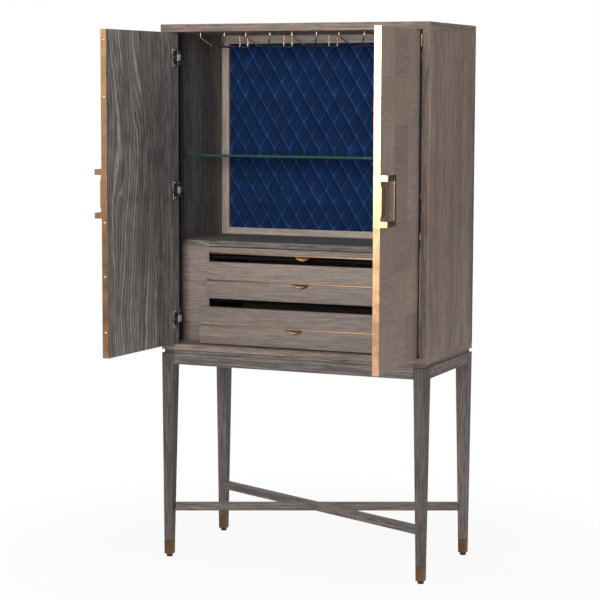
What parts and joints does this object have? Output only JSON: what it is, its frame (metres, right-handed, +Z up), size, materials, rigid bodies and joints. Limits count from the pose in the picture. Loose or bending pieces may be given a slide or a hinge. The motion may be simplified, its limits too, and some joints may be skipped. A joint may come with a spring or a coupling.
{
  "type": "bar cabinet",
  "caption": "Two-door bar cabinet on a tapered-leg stand with crossed stretchers; inside are a wire stemware rack, a glass shelf, a quilted back, a slide-out tray and drawers.",
  "frame": {"origin": "on the floor, under the middle of the cabinet with its doors standing open, 0.20275 m in front of the carcase's centre", "axes": "+Z up, the front with its doors and drawers faces -Y, +X to the right of a person who faces the front"},
  "size_m": [0.9389, 0.8468, 1.714],
  "materials": {
    "outer_oak": "satin limed oak veneer",
    "front_oak": "satin oak veneer",
    "stand_oak": "satin dark oak",
    "drawer_birch": "matt",
    "brass": "polished",
    "bronze": "satin bronze",
    "nickel": "nickel plated",
    "velvet": "velvet",
    "glass": "clear"
  },
  "bodies": {
    "cabinet": {"top_board": "outer_oak", "bottom_board": "outer_oak", "side_left": "outer_oak", "side_right": "outer_oak", "back_panel": "outer_oak", "back_frame": "front_oak", "velvet_quilt": "velvet", "glass_shelf": "glass", "deck_board": "front_oak", "case_side_left": "front_oak", "case_side_right": "front_oak", "tray_rail": "front_oak", "drawer_rail": "front_oak", "plinth_board": "stand_oak", "apron_front": "stand_oak", "apron_back": "stand_oak", "apron_left": "stand_oak", "apron_right": "stand_oak", "stretcher_a": "stand_oak", "stretcher_b": "stand_oak", "leg_front_left": "stand_oak", "leg_front_right": "stand_oak", "leg_back_left": "stand_oak", "leg_back_right": "stand_oak", "foot_front_left": "bronze", "foot_front_right": "bronze", "foot_back_left": "bronze", "foot_back_right": "bronze", "rack_wire_1": "brass", "rack_wire_2": "brass", "rack_wire_3": "brass", "rack_wire_4": "brass", "rack_wire_5": "brass", "left_door_arm_1": "nickel", "left_door_arm_2": "nickel", "left_door_arm_3": "nickel", "right_door_arm_1": "nickel", "right_door_arm_2": "nickel", "right_door_arm_3": "nickel"},
    "left_door": {"left_door_leaf": "outer_oak", "left_door_edge_strip": "brass", "left_door_handle": "brass", "left_door_cup_1": "nickel", "left_door_cup_2": "nickel", "left_door_cup_3": "nickel"},
    "right_door": {"right_door_leaf": "outer_oak", "right_door_edge_strip": "brass", "right_door_handle": "brass", "right_door_cup_1": "nickel", "right_door_cup_2": "nickel", "right_door_cup_3": "nickel"},
    "tray": {"tray_board": "front_oak", "tray_edge": "brass"},
    "upper_drawer": {"upper_drawer_box": "drawer_birch", "upper_drawer_front": "front_oak", "upper_drawer_inlay": "brass"},
    "lower_drawer": {"lower_drawer_box": "drawer_birch", "lower_drawer_front": "front_oak", "lower_drawer_inlay": "brass"}
  },
  "joints": [
    {"name": "left_door_hinge", "type": "hinge", "parent": "cabinet", "child": "left_door", "pos_m": [-0.413, -0.01125, 1.195], "axis": [0, 0, -1], "range_deg": [-93, 2]},
    {"name": "right_door_hinge", "type": "hinge", "parent": "cabinet", "child": "right_door", "pos_m": [0.413, -0.01125, 1.195], "axis": [0, 0, 1], "range_deg": [-94.5, 0.5]},
    {"name": "tray_slide", "type": "slide", "parent": "cabinet", "child": "tray", "axis": [0, -1, 0], "range_m": [-0.006, 0.214]},
    {"name": "upper_drawer_slide", "type": "slide", "parent": "cabinet", "child": "upper_drawer", "axis": [0, -1, 0], "range_m": [-0.025, 0.195]},
    {"name": "lower_drawer_slide", "type": "slide", "parent": "cabinet", "child": "lower_drawer", "axis": [0, -1, 0], "range_m": [-0.076, 0.144]}
  ]
}
